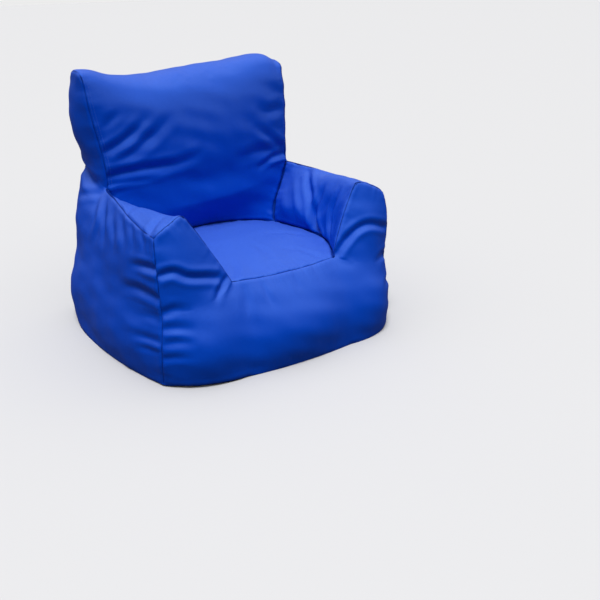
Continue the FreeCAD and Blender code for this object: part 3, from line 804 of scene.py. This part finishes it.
finished_normal = normals_of(finished, fine_faces)
cover = {}
for panel in sorted(members):
    chosen = fine_faces[fine_panel == panel]
    mine = members[panel]
    local = np.searchsorted(mine, chosen)
    outer = finished[mine]
    if panel.startswith("back_panel"):
        outer = open_slot(outer)
    own_normal = normals_of(outer, local)
    both, walls = thick(outer, own_normal, local, COVER)
    piece = new_mesh("cover_" + panel, both, walls)
    put_values(piece, "seam_distance", np.tile(to_seam[mine], 2))
    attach(piece, "bag")
    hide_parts(panel)
    cover[panel] = piece
print("panels:", {name: len(piece.data.polygons) for name, piece in cover.items()})

# %% [markdown]
# ## The liner and the beads
# Behind the zip a second bag of thin cloth holds the beads, so that they stay in when the cover
# comes off. Both follow the cover from inside. The coarse cloth is enough for them: it is set in
# along its normals, and evened out so that the deep folds of the cover don't cut into it.

# %% Inner bag and filling
LINER = 0.0006                                 # thickness of its cloth
LINER_DEPTH, BEADS_DEPTH = 0.020, 0.023        # how deep the two lie under the cover
SHALLOWER, NECK_REACH = 0.6, 0.075             # how much less deep at the necks, and how far
coarse_normal = normals_of(settled, faces)
behind_zip = np.exp(-((settled[:, 2] - ZIP_Z) / 0.030) ** 2) * (settled[:, 1] > ZIP_Y - 0.03)
at_neck = np.exp(-(from_corners(settled, ("neck", "neck*")) / NECK_REACH) ** 2)


def inner_surface(depth):
    """The cloth evened out over its neighbours, and then set in until no point is nearer to the
    cover than the depth. It lies deeper behind the zip and less deep on the floor's side. At the
    necks, where the cover is pinched, it is less deep too."""
    wanted = np.where(on_base, 0.3, 1.0) * (1 - SHALLOWER * at_neck) * depth
    wanted = wanted + 0.004 * behind_zip
    even = smoothed(settled, edges, np.ones(len(settled)), times=10)
    height = ((even - settled) * coarse_normal).sum(axis=1)
    return even - coarse_normal * np.maximum(height + wanted, 0)[:, None]


skin = inner_surface(LINER_DEPTH)
both_skins = np.concatenate([skin, skin - coarse_normal * LINER])
liner = new_mesh("inner_bag", both_skins, np.concatenate([faces, faces[:, ::-1] + len(skin)]))
beads = new_mesh("bead_filling", inner_surface(BEADS_DEPTH), faces)
for piece, replaced, slot in ((liner, "inner_liner", "liner_cloth"), (beads, "bead_fill", "foam_beads")):
    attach(piece, "bag")
    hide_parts(replaced)
print("inner bag and beads:", len(liner.data.polygons), len(beads.data.polygons))

# %% [markdown]
# ## Top stitching
# Along the front of the wings two rows of stitches hold the seam allowance down. A stitch is a
# short bit of thread that dips into the cloth at both ends, so one small capsule is made once
# and set down along lines read from the finished cloth, each turned to the line's own
# direction and the cloth's own normal. The same rows run beside the zip.

# %% Rows of stitches
STITCH, PITCH = 0.0042, 0.0060                 # length of one stitch, and from one to the next
THREAD = 0.00045                               # half the thickness of the thread


def capsule(rings=6, around=6):
    """One stitch along X: the radius of each ring is the thread's, rounded off at the ends by
    sqrt(1 - u^4), and its middle stands a little proud."""
    u = np.linspace(-0.97, 0.97, rings)[:, None]
    turn = np.arange(around)[None] * (2 * np.pi / around)
    radius = THREAD * np.sqrt(1 - u ** 4)
    body = np.stack([np.repeat(u * STITCH / 2, around, 1), radius * np.cos(turn),
                     radius * np.sin(turn) + THREAD * (0.6 - 1.4 * u ** 2)], -1).reshape(-1, 3)
    ring = np.arange(around)
    ahead = np.roll(ring, -1)
    strip = np.stack([ring + around, ahead + around, ahead, ring], -1)
    walls = np.concatenate([strip + k * around for k in range(rings - 1)])
    return body, walls, [ring.tolist(), ((rings - 1) * around + ring[::-1]).tolist()]


def read_line(at, run, values):
    """The rows of an array, read at some lengths along a line."""
    return np.stack([np.interp(at, run, values[:, k]) for k in range(3)], 1)


def stitches(lines):
    """A stitch at every pitch along each line of points, lying in the line's direction."""
    body, walls, caps = capsule()
    spots, ways, ups = [], [], []
    for line, normals in lines:
        run = np.concatenate([[0], np.cumsum(np.linalg.norm(np.diff(line, axis=0), axis=1))])
        at = np.arange(PITCH / 2, run[-1], PITCH)
        spots.append(read_line(at, run, line))
        ways.append(read_line(at + 0.001, run, line) - read_line(at - 0.001, run, line))
        ups.append(read_line(at, run, normals))
    spots, ways, ups = (np.concatenate(x) for x in (spots, ways, ups))
    ways /= np.linalg.norm(ways, axis=1, keepdims=True)
    across = np.cross(ups, ways)
    across /= np.linalg.norm(across, axis=1, keepdims=True)
    ups = np.cross(ways, across)
    points = (spots[:, None] + body[None, :, :1] * ways[:, None] + body[None, :, 1:2] * across[:, None]
              + body[None, :, 2:] * ups[:, None]).reshape(-1, 3)
    shift = (np.arange(len(spots)) * len(body))[:, None, None]
    ends = (np.array(caps)[None] + shift).reshape(-1, len(caps[0]))
    return points, (walls[None] + shift).reshape(-1, 4), ends


def line_beside(panel, index, places, from_end=False):
    """Lines on a patch of the finished cloth that run beside one of its sides. A place is
    counted in lines of the fine grid, and 3.4 is four tenths of the way from 3 to 4."""
    grid = [g for name, g in zip(panels, fine_grids) if name == panel][index]
    grid = grid[::-1] if from_end else grid
    lines = []
    for place in places:
        low, share = int(place), place - int(place)
        point = finished[grid[low]] * (1 - share) + finished[grid[low + 1]] * share
        lines.append((point, finished_normal[grid[low]]))
    return lines


def zip_row(side):
    """A row beside the zip: straight along X, a gap above or below the slot."""
    x = np.linspace(-WINDOW + 0.006, WINDOW - 0.006, 60)
    height = ZIP_Z + side * (SLOT + ZIP_GAP)
    line = np.stack([x, np.full_like(x, ZIP_Y), np.full_like(x, height)], 1)
    return line, np.tile((0.0, 1.0, 0.0), (60, 1))


WING_PLACES = (3.1, 4.3)                       # the two rows, in lines of the fine grid
ZIP_GAP = 0.003                                # from the slot to the row beside it
left_rows = line_beside("inside_back_panel", 1, WING_PLACES)
wing_rows = left_rows + line_beside("inside_back_panel", 1, WING_PLACES, from_end=True)
zip_rows = [zip_row(side) for side in (-1, 1)]
sewing_points, sewing_walls, sewing_ends = stitches(wing_rows + zip_rows)
sewing_mesh = bpy.data.meshes.new("top_stitching")
sewing_mesh.from_pydata(sewing_points.tolist(), [], sewing_walls.tolist() + sewing_ends.tolist())
sewing_mesh.polygons.foreach_set("use_smooth", np.ones(len(sewing_mesh.polygons), bool))
sewing = bpy.data.objects.new("top_stitching", sewing_mesh)
scene.collection.objects.link(sewing)
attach(sewing, "bag")
print("stitches:", len(sewing_ends) // 2)

# %% [markdown]
# ## Finishes
# Coated cloth is not one flat blue. Under a low light it shows a pebbled grain a millimetre
# wide; where hands and legs rub, it gets a little shinier and paler. What faces up is painted
# paler, a painted highlight, and the seams are painted darker, partly painted shade in their
# grooves and partly thread and dust. These effects are used by more than one material, so each
# is a node group with its own inputs, and the Principled shader stays in the material.

# %% Helpers for node trees
def new_group(name, inputs, outputs):
    """An empty node group with named inputs (name, kind, value) and outputs (name, kind)."""
    group = bpy.data.node_groups.new(name, "ShaderNodeTree")
    for label, kind, value in inputs:
        socket = group.interface.new_socket(label, in_out="INPUT", socket_type=kind)
        socket.default_value = value
    for label, kind in outputs:
        group.interface.new_socket(label, in_out="OUTPUT", socket_type=kind)
    return group, group.nodes.new("NodeGroupInput"), group.nodes.new("NodeGroupOutput")


def node(tree, kind, links=(), **settings):
    """A node with its settings, and its inputs linked or filled: (input, socket or value)."""
    made = tree.nodes.new(kind)
    for label, value in settings.items():
        setattr(made, label, value)
    for label, value in links:
        if isinstance(value, bpy.types.NodeSocket):
            tree.links.new(value, made.inputs[label])
        else:
            made.inputs[label].default_value = value
    return made


def blend_value(tree, share, low, high):
    """A number between two others, by a share."""
    made = node(tree, "ShaderNodeMix", [("Factor", share)], data_type="FLOAT")
    for label, value in (("A", low), ("B", high)):
        if isinstance(value, bpy.types.NodeSocket):
            tree.links.new(value, made.inputs[label])
        else:
            made.inputs[label].default_value = value
    return made.outputs["Result"]


def spread(tree, value, low, high, to_low=0.0, to_high=1.0):
    """Map Range, smooth at both ends."""
    limits = [("From Min", low), ("From Max", high), ("To Min", to_low), ("To Max", to_high)]
    made = node(tree, "ShaderNodeMapRange", [("Value", value)] + limits, interpolation_type="SMOOTHSTEP")
    return made.outputs["Result"]


def combine(tree, operation, one, other=0.5):
    """A Math node's result."""
    return node(tree, "ShaderNodeMath", [(0, one), (1, other)], operation=operation).outputs[0]


def bumpy(tree, shader, height, strength, distance):
    """A bump that turns the shader's normal: its height, its strength and how high 1 stands."""
    links = [("Height", height), ("Strength", strength), ("Distance", distance)]
    tree.links.new(node(tree, "ShaderNodeBump", links).outputs[0], shader.inputs["Normal"])


# %% Pebbled grain
def make_grain():
    """Pebbles are the cells of a Voronoi pattern with their borders pressed in, and a finer one
    on top of them; both are bent by noise so that no two pebbles are alike."""
    group, given, given_back = new_group(
        "pebbled_grain",
        [("Pebbles per metre", "NodeSocketFloat", 700.0), ("Depth", "NodeSocketFloat", 1.0)],
        [("Height", "NodeSocketFloat"), ("Pits", "NodeSocketFloat")],
    )
    place = node(group, "ShaderNodeTexCoord").outputs["Object"]
    bend = node(group, "ShaderNodeTexNoise", [("Vector", place), ("Scale", 260.0), ("Detail", 2.0)])
    soft = node(group, "ShaderNodeVectorMath", [(0, bend.outputs["Color"])], operation="SCALE")
    soft.inputs["Scale"].default_value = 0.0016
    bent = node(group, "ShaderNodeVectorMath", [(0, place), (1, soft.outputs[0])], operation="ADD").outputs[0]
    large = node(group, "ShaderNodeTexVoronoi", [("Vector", bent), ("Scale", given.outputs[0])],
                 feature="DISTANCE_TO_EDGE")
    finer = combine(group, "MULTIPLY", given.outputs[0], 2.3)
    small = node(group, "ShaderNodeTexVoronoi", [("Vector", bent), ("Scale", finer)],
                 feature="DISTANCE_TO_EDGE")
    pits = spread(group, large.outputs["Distance"], 0.0, 0.16)
    crumbs = spread(group, small.outputs["Distance"], 0.0, 0.25)
    both = blend_value(group, 0.3, pits, crumbs)
    group.links.new(combine(group, "MULTIPLY", both, given.outputs[1]), given_back.inputs["Height"])
    group.links.new(pits, given_back.inputs["Pits"])
    return group


# %% Rubbed places, painted highlight, painted seam shade and dust
def make_wear_and_painted_light():
    """Signs of use and painted light. Rubbed is broad soft noise, stronger on what faces up.
    Painted highlight is paler colour painted where light falls: the greater of how far it faces
    up, and how high it is times how far it leans back. Seam shade is 1 in the seam and 0 a few
    millimetres away: painted shade in the seam's groove, with its thread and dust. Dust is finer
    noise, most of it near the floor."""
    group, given, given_back = new_group(
        "signs_of_use",
        [("Seam width", "NodeSocketFloat", 0.0024), ("Wear", "NodeSocketFloat", 1.0)],
        [("Rubbed", "NodeSocketFloat"), ("Seam", "NodeSocketFloat"), ("Dust", "NodeSocketFloat"),
         ("Faded", "NodeSocketFloat")],
    )
    place = node(group, "ShaderNodeTexCoord").outputs["Object"]
    height = node(group, "ShaderNodeSeparateXYZ", [(0, place)]).outputs["Z"]
    normal_now = node(group, "ShaderNodeNewGeometry").outputs["Normal"]
    up = node(group, "ShaderNodeSeparateXYZ", [(0, normal_now)]).outputs["Z"]
    broad = node(group, "ShaderNodeTexNoise", [("Vector", place), ("Scale", 7.0), ("Detail", 3.0)])
    patches = spread(group, broad.outputs["Fac"], 0.38, 0.70)
    rubbed = combine(group, "MULTIPLY", patches, spread(group, up, -0.2, 0.9, 0.25, 1.0))
    rubbed = combine(group, "MULTIPLY", rubbed, given.outputs["Wear"])
    # Painted shade in the seams: darker in their grooves, partly thread and dust.
    apart = node(group, "ShaderNodeAttribute", attribute_name="seam_distance").outputs["Fac"]
    seam_shade = spread(group, apart, 0.0, given.outputs["Seam width"], 1.0, 0.0)
    specks = node(group, "ShaderNodeTexNoise", [("Vector", place), ("Scale", 190.0), ("Detail", 4.0)])
    specks = spread(group, specks.outputs["Fac"], 0.52, 0.75)
    dust = combine(group, "MULTIPLY", specks, spread(group, height, 0.0, 0.10, 0.8, 0.15))
    # Painted highlight: what faces up, and what leans back high up, is painted paler as if lit.
    high = spread(group, height, 0.30, 0.48, 0.0, 0.60)
    high_up_highlight = combine(group, "MULTIPLY", spread(group, up, 0.0, 0.30), high)
    painted_highlight = combine(group, "MAXIMUM", spread(group, up, 0.16, 0.95), high_up_highlight)
    for label, value in (("Rubbed", rubbed), ("Seam", seam_shade), ("Dust", dust), ("Faded", painted_highlight)):
        group.links.new(value, given_back.inputs[label])
    return group


grain_group, wear_and_light_group = make_grain(), make_wear_and_painted_light()


# %% Weave for tape, liner and thread
def make_weave():
    """Plain weave: warp and weft are two sine waves at right angles, and which one lies on top
    changes from one crossing to the next."""
    group, given, given_back = new_group(
        "plain_weave",
        [("Threads per metre", "NodeSocketFloat", 1500.0)],
        [("Height", "NodeSocketFloat"), ("Shade", "NodeSocketFloat")],
    )
    place = node(group, "ShaderNodeTexCoord").outputs["Object"]
    parts = node(group, "ShaderNodeSeparateXYZ", [(0, place)])
    turns = combine(group, "MULTIPLY", given.outputs[0], 2 * math.pi)
    level = combine(group, "ADD", parts.outputs["Y"], parts.outputs["Z"])
    warp, weft = (combine(group, "SINE", combine(group, "MULTIPLY", value, turns))
                  for value in (parts.outputs["X"], level))
    crossing = combine(group, "MULTIPLY", warp, weft)
    group.links.new(spread(group, crossing, -1.0, 1.0), given_back.inputs["Height"])
    group.links.new(spread(group, crossing, -0.6, 0.8, 0.75, 1.0), given_back.inputs["Shade"])
    return group


def make_specks():
    """Specks of a moulded or lacquered face: fine noise, and the share of it that shows."""
    group, given, given_back = new_group(
        "moulded_specks",
        [("Specks per metre", "NodeSocketFloat", 800.0)],
        [("Height", "NodeSocketFloat"), ("Share", "NodeSocketFloat")],
    )
    place = node(group, "ShaderNodeTexCoord").outputs["Object"]
    links = [("Vector", place), ("Scale", given.outputs[0]), ("Detail", 5.0)]
    noise = node(group, "ShaderNodeTexNoise", links).outputs["Fac"]
    group.links.new(noise, given_back.inputs["Height"])
    group.links.new(spread(group, noise, 0.35, 0.7), given_back.inputs["Share"])
    return group


weave_group, specks_group = make_weave(), make_specks()
print("node groups:", [g.name for g in bpy.data.node_groups])

# %% [markdown]
# ## The vinyl
# The cover is cloth with a thick coat of blue vinyl. A flat blue with some gloss would look like
# paint, so the blue is mixed step by step: paler where it faces up, a painted highlight; darker
# in the pits of the grain; darker in the seams, partly painted shade; dusty near the floor. The
# gloss is weak and takes the blue's hue.

# %% Coated cloth
def plain_material(name, roughness, specular, sheen=0.0, tint=(1.0, 1.0, 1.0)):
    """A material with its Principled shader, and the constants on the shader's own sockets."""
    material = bpy.data.materials.new(name)
    material.use_nodes = True
    shader = material.node_tree.nodes["Principled BSDF"]
    shader.inputs["Roughness"].default_value = roughness
    shader.inputs["Specular IOR Level"].default_value = specular
    shader.inputs["Specular Tint"].default_value = (*tint, 1.0)
    shader.inputs["Sheen Weight"].default_value = sheen
    return material, material.node_tree, shader


def colour_mix(tree, share, low, high):
    """One colour blended into another by a share. A Mix node has one pair of inputs for each
    kind of value; those for colours are numbers 6 and 7, and the colour comes out at 2."""
    made = node(tree, "ShaderNodeMix", data_type="RGBA")
    tree.links.new(share, made.inputs["Factor"])
    for number, value in ((6, low), (7, high)):
        if isinstance(value, bpy.types.NodeSocket):
            tree.links.new(value, made.inputs[number])
        else:
            made.inputs[number].default_value = (*value, 1.0)
    return made.outputs[2]


def vinyl(name, colour, highlight_and_wear_colour, seam_shade_and_pit_colour, roughness, pebbles, depth, wear):
    """Coated cloth: colour, a painted highlight on what faces up, rubbed places and seams
    darkened partly by painted shade; the grain is a bump.
    """
    material, tree, shader = plain_material(name, roughness, 0.34, tint=(0.12, 0.45, 1.0))
    grain = node(tree, "ShaderNodeGroup", node_tree=grain_group)
    grain.inputs["Pebbles per metre"].default_value = pebbles
    wear_and_light = node(tree, "ShaderNodeGroup", node_tree=wear_and_light_group)
    wear_and_light.inputs["Wear"].default_value = wear
    # Painted highlight: what faces up, and the high back, is painted towards the paler colour.
    base = colour_mix(tree, wear_and_light.outputs["Faded"], colour, highlight_and_wear_colour)
    rubbed = spread(tree, wear_and_light.outputs["Rubbed"], 0.0, 1.0, 0.0, 0.08)
    base = colour_mix(tree, rubbed, base, highlight_and_wear_colour)
    pitted = spread(tree, grain.outputs["Pits"], 0.0, 1.0, 0.30, 0.0)
    base = colour_mix(tree, pitted, base, seam_shade_and_pit_colour)
    # Painted shade in the seams' grooves, with their thread and dust: the seams are painted darker.
    base = colour_mix(tree, wear_and_light.outputs["Seam"], base, seam_shade_and_pit_colour)
    dusty = spread(tree, wear_and_light.outputs["Dust"], 0.0, 1.0, 0.0, 0.012)
    base = colour_mix(tree, dusty, base, (0.35, 0.36, 0.40))
    tree.links.new(base, shader.inputs["Base Color"])
    shine = blend_value(tree, wear_and_light.outputs["Rubbed"], roughness, roughness - 0.10)
    shine = blend_value(tree, pitted, shine, 0.75)
    tree.links.new(shine, shader.inputs["Roughness"])
    bumpy(tree, shader, grain.outputs["Height"], depth, 0.00022)
    return material


# For both vinyls: the second colour is the painted highlight, also used for rubbed wear; the third is the
# painted seam shade, also used in the grain's pits.
blue = vinyl("blue_vinyl", (0.0005, 0.062, 0.58), (0.046, 0.128, 0.64), (0.0003, 0.016, 0.20),
             0.52, 720.0, 0.55, 1.0)
under = vinyl("base_vinyl", (0.002, 0.030, 0.26), (0.010, 0.045, 0.32), (0.001, 0.006, 0.06),
              0.60, 520.0, 0.8, 0.6)
for panel, piece in cover.items():
    piece.data.materials.append(under if panel == "base_panel" else blue)

# %% [markdown]
# ## Liner, thread, beads and zip
# The zip's tapes, the thread and the liner are woven; the teeth are moulded and the slider is
# lacquered. They are seen from a hand's breadth at most, so each gets the finest pattern that
# still shows there. The zip is the frame's own, because it is rigid and already the right shape.

# %% Cloth, thread, beads and zip
def woven(name, colour, threads, roughness):
    """Woven cloth: the weave is both a bump and a change of shade."""
    material, tree, shader = plain_material(name, roughness, 0.25, sheen=0.15)
    weave = node(tree, "ShaderNodeGroup", node_tree=weave_group)
    weave.inputs[0].default_value = threads
    dark = tuple(c * 0.45 for c in colour)
    tree.links.new(colour_mix(tree, weave.outputs["Shade"], dark, colour), shader.inputs["Base Color"])
    bumpy(tree, shader, weave.outputs["Height"], 0.7, 0.00015)
    return material


def speckled(name, colour, dark, scale, roughness, metallic=0.0, depth=0.3):
    """Moulded plastic or lacquered metal: fine specks in the colour, the gloss and the bump."""
    material, tree, shader = plain_material(name, roughness, 0.5)
    shader.inputs["Metallic"].default_value = metallic
    specks = node(tree, "ShaderNodeGroup", node_tree=specks_group)
    specks.inputs[0].default_value = scale
    share = specks.outputs["Share"]
    tree.links.new(colour_mix(tree, share, dark, colour), shader.inputs["Base Color"])
    shine = blend_value(tree, share, roughness + 0.12, roughness - 0.05)
    tree.links.new(shine, shader.inputs["Roughness"])
    bumpy(tree, shader, specks.outputs["Height"], depth, 0.0001)
    return material


def bead_material():
    """Foam beads of 3 mm: Voronoi cells, round in the bump, white, with painted shade in grey between them.
    """
    material, tree, shader = plain_material("foam_beads", 0.8, 0.3)
    place = node(tree, "ShaderNodeTexCoord").outputs["Object"]
    cells = node(tree, "ShaderNodeTexVoronoi", [("Vector", place), ("Scale", 320.0)]).outputs["Distance"]
    share = spread(tree, cells, 0.25, 0.75)
    # Painted shade: grey between the beads, where they shade each other.
    bead_white_and_shade = colour_mix(tree, share, (0.86, 0.86, 0.84), (0.42, 0.42, 0.42))
    tree.links.new(bead_white_and_shade, shader.inputs["Base Color"])
    bumpy(tree, shader, spread(tree, cells, 0.0, 0.7, 1.0, 0.0), 0.9, 0.0015)
    return material


liner.data.materials.append(woven("liner_cloth", (0.70, 0.70, 0.68), 900.0, 0.85))
beads.data.materials.append(bead_material())
sewing.data.materials.append(woven("blue_thread", (0.010, 0.085, 0.62), 3000.0, 0.55))
tape_cloth = woven("zip_tape_cloth", (0.006, 0.030, 0.30), 1400.0, 0.75)
tooth_plastic = speckled("zip_tooth_plastic", (0.010, 0.050, 0.42), (0.006, 0.034, 0.32), 900.0, 0.38)
lacquered = speckled("lacquered_zip_metal", (0.012, 0.055, 0.40), (0.30, 0.31, 0.33), 700.0, 0.30,
                     metallic=0.6)
FINISH = {"zip_tape": tape_cloth, "zip_teeth": tooth_plastic, "zip_slider": lacquered,
          "zip_bottom": lacquered, "zip_top": lacquered}
for name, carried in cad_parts.items():
    for start, material in FINISH.items():
        if name.startswith(start):
            carried.data.materials.clear()
            carried.data.materials.append(material)
print("finishes:", sorted(m.name for m in bpy.data.materials if m.users))

# %% [markdown]
# ## Studio
# The chair stands on a pale floor. A wide light from above, a little in front and to the left,
# and a sky that is whitest overhead, make what faces up light and leave the folds and the
# undersides dark. A white floor would throw light back up into them, so only the camera sees it
# pale: every other ray meets a dark floor.

# %% Floor, lamps and world
x, y = np.meshgrid(np.linspace(-12, 12, 9), np.linspace(-12, 12, 9), indexing="ij")
floor_grid = np.arange(81).reshape(9, 9)
floor = new_mesh("studio_floor", np.stack([x, y, np.zeros_like(x)], -1).reshape(-1, 3), quads(floor_grid))
floor_paint, floor_tree, floor_shader = plain_material("pale_floor", 0.8, 0.2)
ray = node(floor_tree, "ShaderNodeLightPath").outputs["Is Camera Ray"]
floor_tree.links.new(colour_mix(floor_tree, ray, (0.10, 0.10, 0.11), (0.60, 0.60, 0.61)),
                     floor_shader.inputs["Base Color"])
floor.data.materials.append(floor_paint)


def soft_sun(name, way, strength, width):
    """Even light from one side of the sky, whose disc is so wide that shadows are soft."""
    lamp = bpy.data.lights.new(name, "SUN")
    lamp.energy, lamp.angle = strength, math.radians(width)
    holder = bpy.data.objects.new(name, lamp)
    holder.rotation_euler = Vector(way).to_track_quat("Z", "Y").to_euler()
    scene.collection.objects.link(holder)
    return holder


soft_sun("light_above", (-0.24, -0.30, 1.0), 2.25, 18.0)
world = bpy.data.worlds.new("white_studio")
world.use_nodes = True
sky = world.node_tree
way_up = node(sky, "ShaderNodeSeparateXYZ", [(0, node(sky, "ShaderNodeTexCoord").outputs["Generated"])])
strength = spread(sky, way_up.outputs["Z"], -0.05, 0.95, 0.05, 0.98)
seen = node(sky, "ShaderNodeLightPath").outputs["Is Camera Ray"]
sky.links.new(blend_value(sky, seen, strength, 0.84), sky.nodes["Background"].inputs["Strength"])
sky.nodes["Background"].inputs["Color"].default_value = (1.0, 1.0, 1.0, 1.0)
scene.world = world
scene.view_settings.view_transform = "Standard"

# %% [markdown]
# ## Camera
# The camera stands to the left of the chair's front and looks down on it a little.

# %% Camera
CAMERA_PLACE = (-0.9606, -1.6654, 0.8562)
TURN, DOWN = math.radians(-35.0), math.radians(23.041)
camera_data = bpy.data.cameras.new("studio_camera")
camera_data.lens, camera_data.sensor_width = 50.07, 36.0
camera = bpy.data.objects.new("studio_camera", camera_data)
camera.location = CAMERA_PLACE
backwards = Vector((math.sin(TURN) * math.cos(DOWN), -math.cos(TURN) * math.cos(DOWN), math.sin(DOWN)))
camera.rotation_euler = backwards.to_track_quat("Z", "Y").to_euler()
scene.collection.objects.link(camera)
scene.camera = camera
